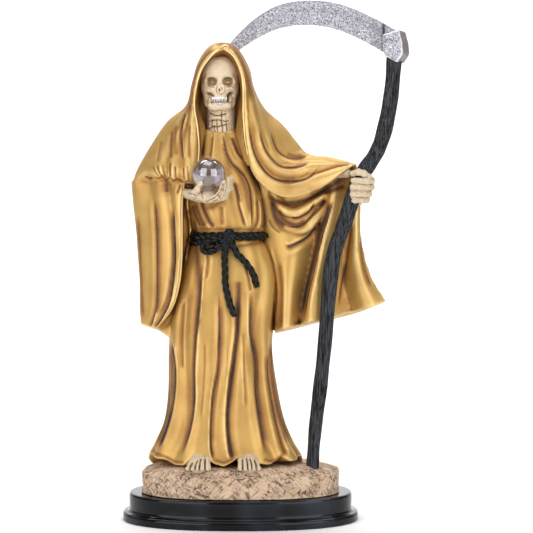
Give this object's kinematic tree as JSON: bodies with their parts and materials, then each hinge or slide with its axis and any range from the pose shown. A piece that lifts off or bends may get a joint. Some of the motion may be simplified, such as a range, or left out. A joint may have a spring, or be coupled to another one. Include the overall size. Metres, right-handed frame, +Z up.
{
  "type": "robed skeleton statuette",
  "caption": "Robed and hooded skeleton statuette that holds a glass ball in one hand and a tall scythe in the other, on a rock and an oval plinth.",
  "frame": {"origin": "centre of the plinth's flat underside", "axes": "+Z up along the figure, -Y the way the figure faces, +X towards the scythe"},
  "size_m": [0.1668, 0.0796, 0.3045],
  "materials": {
    "plinth_gloss": "black lacquer with a high gloss",
    "gilt_resin": "cast resin with antique gold paint, bone-coloured skull, hands and feet, a dark rope and a pinkish-beige rock",
    "clear_glass": "clear and polished",
    "dark_bark": "charcoal paint over carved bark grain",
    "hammered_metal": "silver-grey paint over a grainy casting"
  },
  "bodies": {
    "root": {"plinth": "plinth_gloss", "figure": "gilt_resin", "glass_ball": "clear_glass", "scythe_handle": "dark_bark", "scythe_blade": "hammered_metal"}
  },
  "joints": []
}
